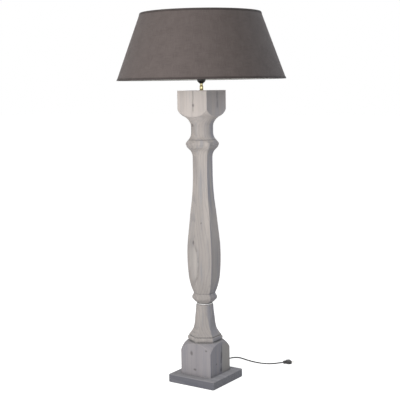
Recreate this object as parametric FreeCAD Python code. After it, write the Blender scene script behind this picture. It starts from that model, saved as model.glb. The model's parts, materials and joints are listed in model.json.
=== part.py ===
import FreeCAD, Part
import math
import os

# Candlestick floor lamp. Millimetres, +Z up, origin at the middle of the base's underside.
# -Y is the front, +X the right-hand side. The supply cord leaves the back, towards +Y.

V = FreeCAD.Vector
UP = V(0, 0, 1)
ORIGIN = V(0, 0, 0)

# ---- driving dimensions ----
# plinth: two boards, glued side by side, on four felt pads
PLINTH_WIDTH = 230.0
PLINTH_TOP = 36.5
PLINTH_CORNER = 7.0
PLINTH_TOP_EDGE = 5.0
PLINTH_FOOT_EDGE = 2.0
BOARD_JOINT_Y = -7.0
BOARD_GROOVE = 1.2
PAD_HEIGHT = 2.0
PAD_RADIUS = 11.0
PAD_INSET = 25.0
DOWEL_RADIUS = 5.0
DOWEL_HOLE = 5.1
DOWEL_PLACE = 45.0
DOWEL_LOW = 22.0
DOWEL_HIGH = 56.5
CHANNEL_WIDTH = 9.0
CHANNEL_TOP = 16.0

# column
PEDESTAL_WIDTH = 151.0
PEDESTAL_SHOULDER = 176.5
CAPITAL_WIDTH = 146.0
BLOCK_CORNER = 2.5
CAPITAL_EDGE = 1.5
SECTION_JOINT = 335.4
DISC_THICKNESS = 2.4
DISC_RADIUS = 33.4
JOINT_GROOVE = 32.6     # radius of the shadow groove on either side of the steel disc
CAPITAL_START = 1036.0
COLUMN_TOP = 1234.0
FLAT_SHARE = 0.869      # flat's distance from the axis, of the turned radius over its corners
CORNER_SHARE = 0.996    # the turned radius that takes the sharpness off those corners

# tie tube that clamps the column to the plinth
TUBE_RADIUS = 5.0
TUBE_BORE = 4.0
TUBE_LOW = 16.5
COLUMN_BORE = 5.3
POCKET_RADIUS = 16.0
POCKET_TOP = 26.0
WASHER_RADIUS = 13.0
WASHER_HEIGHT = 2.0
NUT_ACROSS = 17.0
NUT_HEIGHT = 6.0

# brass neck and lampholder
NECK_TOP = 1262.0
HOLDER_RADIUS = 19.5
HOLDER_WALL = 2.7
HOLDER_CAP_TOP = 1284.0
HOLDER_TOP = 1334.0
HOLDER_BORE = 15.0
HOLDER_NUT_ACROSS = 14.0
THREAD_RIDGES = 12
THREAD_PITCH = 2.5
RING_BORE = 19.2
RING_RADIUS = 24.0
RING_GRIPS = 24
SHADE_SEAT = 1312.0
BULB_SEAT = 1300.0
GLASS_WALL = 1.2

# shade
SHADE_BOTTOM_RADIUS = 350.0
SHADE_TOP_RADIUS = 249.0
SHADE_BOTTOM = 1277.5
SHADE_TOP = 1550.0
COVER_THICKNESS = 0.9
LINER_THICKNESS = 1.0
LAYER_GAP = 0.2
COVER_SHORT = 0.5       # how far the cover and its liner stop inside the hems' edges
HEM_HEIGHT = 9.0
HEM_THICKNESS = 0.8
SEAM_WIDTH = 12.0
SEAM_THICKNESS = 0.5
SEAM_INSET = 0.3
WIRE_RADIUS = 2.0
ARM_COUNT = 3
ARM_RADIUS = 1.8
HUB_RADIUS = 26.0
HUB_BORE = 20.2
HUB_THICKNESS = 2.4

# supply cord
CORD_RADIUS = 2.75
CORD_FLOOR = 2.85
CORD_EXIT_HEIGHT = 12.0
COIL_PITCH = 6.0
COIL_LOW = 3.75
COIL_WIDTH = 90.0
COIL_INNER_STEPS = 7    # how often the coil's width narrows by a pitch before it turns back
COIL_X = -118.0
COIL_START_Y = 232.0
STRAP_WIDTH = 8.0
STRAP_THICKNESS = 0.8

# foot switch
SWITCH_LENGTH = 68.0
SWITCH_WIDTH = 30.0
SWITCH_HEIGHT = 22.0
SWITCH_SPLIT = 10.0
SWITCH_CORNER = 9.0
SWITCH_EDGE = 5.0
SWITCH_WALL = 3.0
SWITCH_FLOOR = 4.0
SWITCH_ROOM = 11.0
SWITCH_END_X = -64.0
SWITCH_Y = 174.0
SWITCH_CORD_Z = 9.0
BUTTON_RADIUS = 8.5
BUTTON_GAP = 0.5
BUTTON_LOW = 14.5
BUTTON_RISE = 3.2
BUTTON_EDGE = 2.0

# plug
PLUG_LENGTH = 36.0
PLUG_HALF_WIDTH = 17.5
PLUG_THICKNESS = 13.7
PLUG_EDGE = 2.2
PLUG_TURN = 43.8
PLUG_CORD_Z = 6.85
PIN_RADIUS = 2.0
PIN_LENGTH = 19.0
PIN_PLACE = 9.3

# ---- the turned outlines: (radius, height), or an arc's middle and end ----
# Upper section, from the joint's groove up the long swelling to the widest line of the upper ring.
SWELLING = [
    [(JOINT_GROOVE, SECTION_JOINT + DISC_THICKNESS)],
    [(JOINT_GROOVE, 340.4)],
    [(37.4, 341.8)],
    [(50.5, 355.0)],
    [(53.4, 363.5), (50.5, 372.0)],
    [(45.2, 380.5)],
    [(57.0, 411.0), (66.3, 455.0)],
    [(70.6, 520.0), (69.0, 598.0)],
    [(54.2, 732.0)],
    [(46.0, 799.0), (41.8, 880.0)],
    [(41.6, 955.0)],
    [(44.0, 972.0), (49.8, 984.5)],
    [(65.0, 1000.0)],
    [(69.6, 1011.0)],
]
# From the upper ring's widest line over the hollow neck to the capital.
NECK = [
    [(68.6, 1017.5), (65.5, 1022.0)],
    [(57.5, 1031.0)],
    [(49.0, 1045.0), (46.2, 1063.0)],
    [(46.4, 1090.0)],
    [(54.2, 1109.0), (71.5, 1125.8)],
    [(90.5, 1139.0), (103.5, 1159.0)],
    [(106.0, 1166.0)],
    [(106.0, COLUMN_TOP)],
]
# Lower section: pedestal block, domed shoulder, big ring and the spreading foot of the shaft.
FOOT = [
    [(108.0, PLINTH_TOP)],
    [(108.0, 134.0)],
    [(97.0, 155.0), (74.0, 175.0)],
    [(69.0, PEDESTAL_SHOULDER)],
    [(69.0, 178.0)],
    [(72.0, 180.0)],
    [(74.6, 188.5), (71.8, 196.4)],
    [(67.0, 198.8)],
    [(69.0, 201.3)],
    [(58.0, 215.0), (49.8, 229.0)],
    [(44.6, 250.0), (42.2, 274.0)],
    [(38.6, 302.0)],
    [(36.4, 331.0)],
    [(JOINT_GROOVE, 332.4)],
    [(JOINT_GROOVE, SECTION_JOINT)],
]
# Distance of the lower section's flats from the axis: they run out towards the top.
FOOT_FLATS = [
    [(61.0, PEDESTAL_SHOULDER)],
    [(61.0, 178.0)],
    [(62.8, 180.0)],
    [(64.9, 188.5), (62.5, 196.4)],
    [(57.8, 198.8)],
    [(59.6, 201.3)],
    [(50.4, 215.0), (43.6, 229.0)],
    [(40.4, 250.0), (39.6, 274.0)],
    [(38.8, 302.0)],
    [(37.0, SECTION_JOINT)],
]

# ---- the supply cord's route ----
LEAD_ROUTE = [
    V(0, 138, CORD_EXIT_HEIGHT),
    V(-2, 156, 10),
    V(-12, 171, 5.5),
    V(-29, 178, 3.5),
    V(-47, 178, 6),
    V(SWITCH_END_X, SWITCH_Y, SWITCH_CORD_Z),
]
LINK_ROUTE = [
    V(SWITCH_END_X - SWITCH_LENGTH, SWITCH_Y, SWITCH_CORD_Z),
    V(-152, 173, 6),
    V(-172, 174, 3.2),
    V(-187.5, 185, CORD_FLOOR),
    V(-193.5, 203, CORD_FLOOR),
    V(-187.5, 221, 3.2),
    V(-172, 232, 5),
    V(-148, 232.6, 9.2),
    V(COIL_X - 2 * CORD_RADIUS, COIL_START_Y, COIL_LOW + COIL_PITCH),
]
RUN_ROUTE = [
    V(-73, 288.5, COIL_LOW),
    V(-71, 309, 3.2),
    V(-62, 328, CORD_FLOOR),
    V(-44, 338, CORD_FLOOR),
    V(-20, 334, CORD_FLOOR),
    V(12, 323, CORD_FLOOR),
    V(50, 315, CORD_FLOOR),
    V(88, 314, CORD_FLOOR),
    V(122, 323, CORD_FLOOR),
    V(150, 344, 3.6),
    V(175, 368, PLUG_CORD_Z),
]
# The stretch inside the plinth, from the back face along the channel and up into the tie tube.
INNER_ROUTE = [
    V(0, PLINTH_WIDTH / 2, CORD_EXIT_HEIGHT),
    V(0, 90, 10.0),
    V(0, 55, 7.5),
    V(0, 30, 6.8),
    V(0, 0, 6.8),
    V(0, 0, 24.0),
]

os.makedirs("parts", exist_ok=True)


# ---- helpers ----
def save(name, shape):
    """Writes one piece, and stops if it isn't one closed, valid solid."""
    solids = shape.Solids
    if len(solids) != 1 or not shape.isValid():
        raise RuntimeError(f"{name}: {len(solids)} solids, valid {shape.isValid()}")
    solids[0].exportStep(f"parts/{name}.step")


def outline_edges(outline, share=1.0):
    """Edges of a half outline in the XZ plane, its radii multiplied by share."""
    edges = []
    here = None
    for step in outline:
        points = [V(radius * share, 0, height) for radius, height in step]
        if here is not None:
            curve = Part.LineSegment(here, points[0]) if len(points) == 1 else Part.Arc(here, *points)
            edges.append(curve.toShape())
        here = points[-1]
    return edges


def turned(outline, share=1.0):
    """The outline turned about the axis."""
    edges = outline_edges(outline, share)
    low = outline[0][-1]
    high = outline[-1][-1]
    foot = V(0, 0, low[1])
    head = V(0, 0, high[1])
    edges.insert(0, Part.LineSegment(foot, V(low[0] * share, 0, low[1])).toShape())
    edges.append(Part.LineSegment(V(high[0] * share, 0, high[1]), head).toShape())
    edges.append(Part.LineSegment(head, foot).toShape())
    return Part.Face(Part.Wire(edges)).revolve(ORIGIN, UP, 360)


def six_flats(outline, share=1.0):
    """A six-sided shaft: three slabs of the same outline, 60 degrees apart, where they cross."""
    right = outline_edges(outline, share)
    mirror = FreeCAD.Matrix()
    mirror.scale(-1, 1, 1)
    left = [edge.transformGeometry(mirror) for edge in right]
    ends = []
    for radius, height in (outline[0][-1], outline[-1][-1]):
        reach = V(radius * share, 0, height)
        ends.append(Part.LineSegment(V(-reach.x, 0, height), reach).toShape())
    face = Part.Face(Part.Wire(Part.__sortEdges__(right + left + ends)))
    depth = PLINTH_WIDTH
    face.translate(V(0, -depth / 2, 0))
    shaft = face.extrude(V(0, depth, 0))
    slabs = [shaft.copy() for _ in range(3)]
    for count, slab in enumerate(slabs):
        slab.rotate(ORIGIN, UP, 60 * count)
    return slabs[0].common(slabs[1]).common(slabs[2])


def cylinder(radius, low, high, x=0.0, y=0.0):
    return Part.makeCylinder(radius, high - low, V(x, y, low))


def sleeve(outer, inner, low, high):
    return cylinder(outer, low, high).cut(cylinder(inner, low - 1, high + 1))


def hexagon(across, low, high):
    """A six-sided prism, such as a nut's outside."""
    radius = across / math.sqrt(3)
    corners = []
    for count in range(7):
        angle = math.radians(60 * count)
        corners.append(V(radius * math.cos(angle), radius * math.sin(angle), low))
    return Part.Face(Part.makePolygon(corners)).extrude(V(0, 0, high - low))


def is_upright(edge):
    return abs(edge.tangentAt(edge.FirstParameter).z) > 0.9


def eased(shape, radius, keep):
    """Rounds the edges that keep() picks."""
    return shape.makeFillet(radius, [edge for edge in shape.Edges if keep(edge)])


def block(width, low, high, corner):
    """A square post with its upright corners eased."""
    post = Part.makeBox(width, width, high - low, V(-width / 2, -width / 2, low))
    return eased(post, corner, is_upright)


def swept(path, radius, start, direction):
    """A round tube along a path."""
    section = Part.Wire(Part.Circle(start, direction, radius).toShape())
    return path.makePipeShell([section], True, False)


def bent_tube(route, radius, name):
    """Straight runs joined by tangent arcs. Prints its radii and its volume against its length."""
    edges = []
    radii = []
    here = route[0]
    for before, corner, after in zip(route, route[1:], route[2:]):
        back = (before - corner).normalize()
        ahead = (after - corner).normalize()
        turn = math.pi - back.getAngle(ahead)
        trim = 0.45 * min((before - corner).Length, (after - corner).Length)
        bend = trim / math.tan(turn / 2)
        start = corner + back * trim
        end = corner + ahead * trim
        inward = (back + ahead).normalize()
        middle = corner + inward * (bend / math.cos(turn / 2) - bend)
        edges.append(Part.LineSegment(here, start).toShape())
        edges.append(Part.Arc(start, middle, end).toShape())
        here = end
        radii.append(round(bend, 1))
    edges.append(Part.LineSegment(here, route[-1]).toShape())
    path = Part.Wire(edges)
    shape = swept(path, radius, route[0], route[1] - route[0])
    share = shape.Volume / (math.pi * radius**2 * path.Length)
    print(f"{name}: length {path.Length:.0f}, radii {radii}, volume {share:.4f} of expected")
    return shape


# ---- plinth ----
def plinth_slab():
    """Both boards in one, with the nut's pocket, the cord's channel and the dowels' holes."""
    slab = block(PLINTH_WIDTH, PAD_HEIGHT, PLINTH_TOP, PLINTH_CORNER)
    slab = eased(slab, PLINTH_TOP_EDGE, lambda edge: edge.BoundBox.ZMin > PLINTH_TOP - 0.01)
    slab = eased(slab, PLINTH_FOOT_EDGE, lambda edge: edge.BoundBox.ZMax < PAD_HEIGHT + 0.01)
    slab = slab.cut(cylinder(COLUMN_BORE, 0, PLINTH_TOP + 1))
    slab = slab.cut(cylinder(POCKET_RADIUS, 0, POCKET_TOP))
    slab = slab.cut(Part.makeBox(CHANNEL_WIDTH, PLINTH_WIDTH, CHANNEL_TOP, V(-CHANNEL_WIDTH / 2, 0, 0)))
    for side in (-1, 1):
        hole = cylinder(DOWEL_HOLE, DOWEL_LOW - 1, PLINTH_TOP + 1, side * DOWEL_PLACE, side * DOWEL_PLACE)
        slab = slab.cut(hole)
    return slab


def plinth():
    slab = plinth_slab()
    front = Part.makeBox(
        PLINTH_WIDTH, PLINTH_WIDTH, PLINTH_WIDTH,
        V(-PLINTH_WIDTH / 2, BOARD_JOINT_Y - PLINTH_WIDTH, 0),
    )
    start = -PLINTH_WIDTH / 2
    corners = [
        V(start, BOARD_JOINT_Y - BOARD_GROOVE, PLINTH_TOP),
        V(start, BOARD_JOINT_Y, PLINTH_TOP - BOARD_GROOVE),
        V(start, BOARD_JOINT_Y + BOARD_GROOVE, PLINTH_TOP),
    ]
    groove = Part.Face(Part.makePolygon(corners + corners[:1])).extrude(V(PLINTH_WIDTH, 0, 0))
    slab = slab.cut(groove)
    save("plinth_front_board", slab.common(front))
    save("plinth_back_board", slab.cut(front))

    reach = PLINTH_WIDTH / 2 - PAD_INSET
    corners = [(x, y) for y in (-reach, reach) for x in (-reach, reach)]
    for count, (x, y) in enumerate(corners, 1):
        save(f"felt_pad_{count}", cylinder(PAD_RADIUS, 0, PAD_HEIGHT, x, y))
    for count, side in enumerate((-1, 1), 1):
        dowel = cylinder(DOWEL_RADIUS, DOWEL_LOW, DOWEL_HIGH, side * DOWEL_PLACE, side * DOWEL_PLACE)
        save(f"plinth_dowel_{count}", dowel)


# ---- column ----
def lower_section():
    pedestal = block(PEDESTAL_WIDTH, PLINTH_TOP, PEDESTAL_SHOULDER, BLOCK_CORNER)
    stock = pedestal.fuse(six_flats(FOOT_FLATS))
    section = stock.common(turned(FOOT, CORNER_SHARE))
    section = section.cut(cylinder(COLUMN_BORE, PLINTH_TOP - 1, SECTION_JOINT + 1))
    for side in (-1, 1):
        hole = cylinder(DOWEL_HOLE, PLINTH_TOP - 1, DOWEL_HIGH + 1, side * DOWEL_PLACE, side * DOWEL_PLACE)
        section = section.cut(hole)
    return section


def upper_section():
    flats = SWELLING + [[(SWELLING[-1][-1][0], CAPITAL_START)]]
    capital = block(CAPITAL_WIDTH, CAPITAL_START, COLUMN_TOP, BLOCK_CORNER)
    capital = eased(capital, CAPITAL_EDGE, lambda edge: edge.BoundBox.ZMin > COLUMN_TOP - 0.01)
    stock = capital.fuse(six_flats(flats, FLAT_SHARE))
    section = stock.common(turned(SWELLING + NECK, CORNER_SHARE))
    return section.cut(cylinder(COLUMN_BORE, SECTION_JOINT, COLUMN_TOP + 1))


def column():
    save("lower_column", lower_section())
    save("joint_disc", sleeve(DISC_RADIUS, COLUMN_BORE, SECTION_JOINT, SECTION_JOINT + DISC_THICKNESS))
    save("upper_column", upper_section())


# ---- tie tube, nuts and brass neck ----
def hardware():
    save("tie_tube", sleeve(TUBE_RADIUS, TUBE_BORE, TUBE_LOW, NECK_TOP + 11))
    washer_low = POCKET_TOP - WASHER_HEIGHT
    save("bottom_washer", sleeve(WASHER_RADIUS, TUBE_RADIUS + 0.2, washer_low, POCKET_TOP))
    nut = hexagon(NUT_ACROSS, washer_low - NUT_HEIGHT, washer_low)
    save("bottom_nut", nut.cut(cylinder(TUBE_RADIUS + 0.05, 0, POCKET_TOP)))
    outline = [
        [(8.4, COLUMN_TOP)],
        [(8.4, COLUMN_TOP + 1.6)],
        [(6.8, COLUMN_TOP + 2.8)],
        [(7.9, COLUMN_TOP + 9.5), (7.3, COLUMN_TOP + 16.0)],
        [(6.7, COLUMN_TOP + 19.5), (5.9, COLUMN_TOP + 22.5)],
        [(5.7, NECK_TOP)],
    ]
    neck = turned(outline)
    save("brass_neck", neck.cut(cylinder(TUBE_RADIUS + 0.15, COLUMN_TOP - 1, NECK_TOP + 1)))


# ---- lampholder ----
def holder_cap():
    outside = [
        [(8.0, NECK_TOP)],
        [(9.6, NECK_TOP + 3.0)],
        [(15.6, NECK_TOP + 8.0), (18.4, NECK_TOP + 16.0)],
        [(HOLDER_RADIUS, NECK_TOP + 19.0)],
        [(HOLDER_RADIUS, HOLDER_CAP_TOP)],
    ]
    inside = [
        [(8.6, NECK_TOP + 8.0)],
        [(13.5, NECK_TOP + 14.5)],
        [(HOLDER_RADIUS - HOLDER_WALL, NECK_TOP + 19.0)],
        [(HOLDER_RADIUS - HOLDER_WALL, HOLDER_CAP_TOP + 1)],
    ]
    cap = turned(outside).cut(turned(inside))
    return cap.cut(cylinder(TUBE_RADIUS + 0.1, NECK_TOP - 1, HOLDER_CAP_TOP))


def holder_skirt():
    """The threaded skirt, its thread drawn as plain ridges."""
    foot = HOLDER_CAP_TOP + 10
    outline = [
        [(HOLDER_RADIUS, HOLDER_CAP_TOP)],
        [(HOLDER_RADIUS, foot - 2)],
    ]
    root = HOLDER_RADIUS - 1.3
    crest = HOLDER_RADIUS - 0.6
    for count in range(THREAD_RIDGES):
        low = foot + count * THREAD_PITCH
        outline.append([(root, low)])
        outline.append([(crest, low + THREAD_PITCH / 2)])
    outline.append([(root, HOLDER_TOP - 8)])
    outline.append([(root - 1.2, HOLDER_TOP)])
    return turned(outline).cut(cylinder(HOLDER_BORE, HOLDER_CAP_TOP - 1, HOLDER_TOP + 1))


def lock_ring():
    """The ring that clamps the shade's carrier, with grip flutes round its edge."""
    low = SHADE_SEAT + HUB_THICKNESS / 2 + 0.1
    high = low + 8.0
    ring = sleeve(RING_RADIUS, RING_BORE, low, high)
    for count in range(RING_GRIPS):
        angle = 2 * math.pi * count / RING_GRIPS
        x = (RING_RADIUS + 0.3) * math.cos(angle)
        y = (RING_RADIUS + 0.3) * math.sin(angle)
        ring = ring.cut(cylinder(1.0, low + 1, high - 1, x, y))
    return ring


def lampholder():
    save("holder_cap", holder_cap())
    nut = hexagon(HOLDER_NUT_ACROSS, NECK_TOP + 8.0, NECK_TOP + 11.0)
    save("holder_nut", nut.cut(cylinder(TUBE_RADIUS + 0.05, NECK_TOP, HOLDER_CAP_TOP)))
    save("holder_skirt", holder_skirt())

    contact_low = BULB_SEAT - 4
    insulator = cylinder(HOLDER_BORE - 0.2, HOLDER_CAP_TOP + 0.2, contact_low)
    for side in (-1, 1):
        insulator = insulator.cut(cylinder(3, HOLDER_CAP_TOP, contact_low + 1, side * 8, 0))
    save("holder_insulator", insulator)
    save("screw_shell", sleeve(HOLDER_BORE - 0.4, HOLDER_BORE - 1.1, contact_low, HOLDER_TOP - 3))
    tongue = Part.makeBox(14, 4, 0.8, V(-7, -2, contact_low))
    spring = Part.makeBox(0.8, 4, 2.8, V(-0.4, -2, contact_low + 0.8))
    save("centre_contact", tongue.fuse(spring))
    seat_top = SHADE_SEAT - HUB_THICKNESS / 2 - 0.1
    save("seat_ring", sleeve(RING_RADIUS, RING_BORE, seat_top - 3.7, seat_top))
    save("lock_ring", lock_ring())


# ---- bulb ----
def bulb():
    glass_low = BULB_SEAT + 26.0
    neck = 12.9
    cap = [
        [(4.5, BULB_SEAT)],
        [(9.0, BULB_SEAT + 2.5)],
        [(12.6, BULB_SEAT + 4.0)],
    ]
    for count in range(4):
        low = BULB_SEAT + 4.0 + count * 3.6
        cap.append([(13.5, low + 1.8), (12.6, low + 3.6)])
    cap.append([(neck, glass_low)])
    save("bulb_cap", turned(cap))
    save("bulb_tip", cylinder(4.3, BULB_SEAT - 0.35, BULB_SEAT))
    outside = [
        [(neck, glass_low)],
        [(17.0, BULB_SEAT + 42.0), (27.5, BULB_SEAT + 59.0)],
        [(30.0, BULB_SEAT + 70.0), (25.5, BULB_SEAT + 87.0)],
        [(14.8, BULB_SEAT + 97.0), (0.01, BULB_SEAT + 100.0)],
    ]
    inside = [
        [(neck - GLASS_WALL, glass_low - 1)],
        [(neck - GLASS_WALL, glass_low)],
        [(15.8, BULB_SEAT + 42.4), (26.3, BULB_SEAT + 59.6)],
        [(28.8, BULB_SEAT + 70.0), (24.6, BULB_SEAT + 86.2)],
        [(14.2, BULB_SEAT + 95.8), (0.01, BULB_SEAT + 100.0 - GLASS_WALL)],
    ]
    save("bulb_glass", turned(outside).cut(turned(inside)))


# ---- shade ----
def shade_radius(height):
    share = (height - SHADE_BOTTOM) / (SHADE_TOP - SHADE_BOTTOM)
    return SHADE_BOTTOM_RADIUS + (SHADE_TOP_RADIUS - SHADE_BOTTOM_RADIUS) * share


def cone_band(outside, thickness, low, high):
    """A band of the shade's cone: outside is how far its skin lies within the shade's outer face."""
    ring = [
        [(shade_radius(low) - outside - thickness, low)],
        [(shade_radius(low) - outside, low)],
        [(shade_radius(high) - outside, high)],
        [(shade_radius(high) - outside - thickness, high)],
        [(shade_radius(low) - outside - thickness, low)],
    ]
    return Part.Face(Part.Wire(outline_edges(ring))).revolve(ORIGIN, UP, 360)


def shade_skins():
    """The cover, its liner, the two hems and the narrow overlap at the back of the cover."""
    low = SHADE_BOTTOM + COVER_SHORT
    high = SHADE_TOP - COVER_SHORT
    cover_inset = HEM_THICKNESS + LAYER_GAP
    liner_inset = cover_inset + COVER_THICKNESS + LAYER_GAP
    save("shade_cover", cone_band(cover_inset, COVER_THICKNESS, low, high))
    save("shade_liner", cone_band(liner_inset, LINER_THICKNESS, low, high))
    save("hem_bottom", cone_band(0, HEM_THICKNESS, SHADE_BOTTOM, SHADE_BOTTOM + HEM_HEIGHT))
    save("hem_top", cone_band(0, HEM_THICKNESS, SHADE_TOP - HEM_HEIGHT, SHADE_TOP))
    clear = HEM_HEIGHT + 1
    seam = cone_band(SEAM_INSET, SEAM_THICKNESS, SHADE_BOTTOM + clear, SHADE_TOP - clear)
    strip = Part.makeBox(
        SEAM_WIDTH, 2 * SHADE_BOTTOM_RADIUS, SHADE_TOP - SHADE_BOTTOM,
        V(-SEAM_WIDTH / 2, 0, SHADE_BOTTOM),
    )
    save("cover_seam", seam.common(strip))
    return liner_inset + LINER_THICKNESS + LAYER_GAP


def shade():
    wire_inset = shade_skins() + WIRE_RADIUS + 0.2
    low_wire_z = SHADE_BOTTOM + COVER_SHORT + WIRE_RADIUS
    high_wire_z = SHADE_TOP - COVER_SHORT - WIRE_RADIUS
    low_wire = shade_radius(low_wire_z) - wire_inset
    high_wire = shade_radius(high_wire_z) - wire_inset
    bottom_wire = Part.makeTorus(low_wire, WIRE_RADIUS, V(0, 0, low_wire_z))
    save("bottom_wire", bottom_wire)
    save("top_wire", Part.makeTorus(high_wire, WIRE_RADIUS, V(0, 0, high_wire_z)))

    # carrier: a flat ring on the lampholder and three arms down to the bottom wire
    hub = sleeve(HUB_RADIUS, HUB_BORE, SHADE_SEAT - HUB_THICKNESS / 2, SHADE_SEAT + HUB_THICKNESS / 2)
    save("carrier_ring", hub)
    route = [
        V(HUB_RADIUS - 1.4, 0, SHADE_SEAT),
        V(120, 0, SHADE_SEAT - 2),
        V(210, 0, SHADE_SEAT - 12),
        V(290, 0, SHADE_SEAT - 26),
        V(low_wire, 0, low_wire_z),
    ]
    arm = bent_tube(route, ARM_RADIUS, "carrier arm").cut(hub).cut(bottom_wire)
    for count in range(ARM_COUNT):
        turned_arm = arm.copy()
        turned_arm.rotate(ORIGIN, UP, 90 + 360 / ARM_COUNT * count)
        save(f"carrier_arm_{count + 1}", turned_arm)


# ---- supply cord ----
def coil():
    """Two layers wound as one tube: in on the upper layer, down, and out on the lower one."""
    inward = [COIL_WIDTH - COIL_PITCH * step for step in range(COIL_INNER_STEPS + 1)]
    outward = [COIL_WIDTH - COIL_PITCH * step for step in range(COIL_INNER_STEPS - 1, 0, -1)]
    start = V(COIL_X - 2 * CORD_RADIUS, COIL_START_Y, COIL_LOW + COIL_PITCH)
    here = V(COIL_X, COIL_START_Y, COIL_LOW + COIL_PITCH)
    edges = [Part.LineSegment(start, here).toShape()]
    radii = []
    for count, width in enumerate(inward + outward):
        way = 1 if count % 2 == 0 else -1
        level = COIL_LOW + COIL_PITCH if count < COIL_INNER_STEPS else COIL_LOW
        end = V(COIL_X, here.y + way * width, level)
        reach = (end - here).Length / 2
        middle = (here + end) * 0.5 + V(way * reach, 0, 0)
        edges.append(Part.Arc(here, middle, end).toShape())
        radii.append(round(reach, 1))
        here = end
    # the last quarter turn and the straight end
    reach = COIL_WIDTH / 2
    centre = here + V(0, reach, 0)
    slant = reach * math.sqrt(0.5)
    end = centre + V(reach, 0, 0)
    edges.append(Part.Arc(here, centre + V(slant, -slant, 0), end).toShape())
    tail = end + V(0, 2 * CORD_RADIUS, 0)
    edges.append(Part.LineSegment(end, tail).toShape())
    path = Part.Wire(edges)
    shape = swept(path, CORD_RADIUS, start, V(1, 0, 0))
    share = shape.Volume / (math.pi * CORD_RADIUS**2 * path.Length)
    print(f"coil: length {path.Length:.0f}, radii {radii}, volume {share:.4f} of expected")
    print(f"coil: ends at {tail.x:.1f} {tail.y:.1f} {tail.z:.2f}, least gap {least_gap(path):.2f}")
    return shape


def least_gap(path):
    """The least distance between the tube and itself, away from its own neighbourhood."""
    spacing = 1.5
    neighbourhood = 40
    points = path.discretize(Number=int(path.Length / spacing))
    apart = int(neighbourhood / spacing)
    least = path.Length
    for count, point in enumerate(points):
        for other in points[count + apart:]:
            least = min(least, point.distanceToPoint(other))
    return least - 2 * CORD_RADIUS


def strain_relief():
    """The tapered boot on the plinth's back, pointing along +Y."""
    outline = [[(5.6, 0.0)], [(5.6, 3.0)], [(5.0, 3.6)], [(3.5, 22.0)], [(3.2, 23.0)]]
    boot = turned(outline)
    boot.rotate(ORIGIN, V(1, 0, 0), -90)
    boot.translate(V(0, PLINTH_WIDTH / 2, CORD_EXIT_HEIGHT))
    return boot


def coil_strap():
    """A band round the coil's turns on its left side."""
    width = 29.0
    height = 13.6
    low = V(COIL_X - 47.4, COIL_START_Y + COIL_WIDTH / 2 - STRAP_WIDTH / 2, 0.05)
    outer = Part.makeBox(width, STRAP_WIDTH, height, low)
    inner = Part.makeBox(
        width - 2 * STRAP_THICKNESS, STRAP_WIDTH + 2, height - 2 * STRAP_THICKNESS,
        low + V(STRAP_THICKNESS, -1, STRAP_THICKNESS),
    )
    return outer.cut(inner)


def cord():
    save("inner_lead", bent_tube(INNER_ROUTE, CORD_RADIUS, "inner lead"))
    save("inner_riser", cylinder(CORD_RADIUS, INNER_ROUTE[-1].z, HOLDER_CAP_TOP - 9))
    save("strain_relief", strain_relief())
    save("cord_lead", bent_tube(LEAD_ROUTE, CORD_RADIUS, "cord lead"))
    save("cord_link", bent_tube(LINK_ROUTE, CORD_RADIUS, "cord link"))
    save("cord_coil", coil())
    save("cord_run", bent_tube(RUN_ROUTE, CORD_RADIUS, "cord run"))
    save("coil_strap", coil_strap())


# ---- foot switch ----
def switch():
    """In-line foot switch, its long side along X."""
    x = SWITCH_END_X - SWITCH_LENGTH
    y = SWITCH_Y - SWITCH_WIDTH / 2
    middle = x + SWITCH_LENGTH / 2
    body = Part.makeBox(SWITCH_LENGTH, SWITCH_WIDTH, SWITCH_HEIGHT, V(x, y, 0))
    body = eased(body, SWITCH_CORNER, is_upright)
    body = eased(body, SWITCH_EDGE, lambda edge: edge.BoundBox.ZMin > SWITCH_HEIGHT - 0.01)
    room = Part.makeBox(
        SWITCH_LENGTH - 4 * SWITCH_WALL, SWITCH_WIDTH - 2 * SWITCH_WALL, SWITCH_ROOM,
        V(x + 2 * SWITCH_WALL, y + SWITCH_WALL, SWITCH_FLOOR),
    )
    body = body.cut(room)
    body = body.cut(cylinder(BUTTON_RADIUS + BUTTON_GAP, BUTTON_LOW, SWITCH_HEIGHT + 1, middle, SWITCH_Y))
    lower = Part.makeBox(SWITCH_LENGTH, SWITCH_WIDTH, SWITCH_SPLIT, V(x, y, 0))
    save("switch_base", body.common(lower))
    save("switch_cover", body.cut(lower))
    top = SWITCH_HEIGHT + BUTTON_RISE
    button = cylinder(BUTTON_RADIUS, BUTTON_LOW, top, middle, SWITCH_Y)
    save("switch_button", eased(button, BUTTON_EDGE, lambda edge: edge.BoundBox.ZMin > top - 0.1))
    contact = Part.makeBox(40, 5, 3, V(middle - 20, SWITCH_Y - 2.5, SWITCH_FLOOR + 0.5))
    save("switch_contact", contact)


# ---- plug ----
def plug():
    """Flat two-pin plug, lying on its broad side."""
    half_outline = [
        (0, 4.5),
        (10, 6.0),
        (18, PLUG_HALF_WIDTH),
        (PLUG_LENGTH - 6, PLUG_HALF_WIDTH),
        (PLUG_LENGTH, 13.0),
    ]
    corners = [V(x, y, 0) for x, y in half_outline]
    corners += [V(x, -y, 0) for x, y in reversed(half_outline)]
    body = Part.Face(Part.makePolygon(corners + corners[:1])).extrude(V(0, 0, PLUG_THICKNESS))
    pieces = {"plug_body": eased(body, PLUG_EDGE, lambda edge: not is_upright(edge))}
    for count, side in enumerate((-1, 1), 1):
        pin = Part.makeCylinder(
            PIN_RADIUS, PIN_LENGTH, V(PLUG_LENGTH, side * PIN_PLACE, PLUG_THICKNESS / 2), V(1, 0, 0)
        )
        tip = PLUG_LENGTH + PIN_LENGTH - 0.1
        pieces[f"plug_pin_{count}"] = eased(pin, PIN_RADIUS / 2, lambda edge: edge.BoundBox.XMin > tip)
    for name, piece in pieces.items():
        piece.rotate(ORIGIN, UP, PLUG_TURN)
        piece.translate(RUN_ROUTE[-1] - V(0, 0, PLUG_CORD_Z))
        save(name, piece)


plinth()
column()
hardware()
lampholder()
bulb()
shade()
cord()
switch()
plug()
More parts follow.
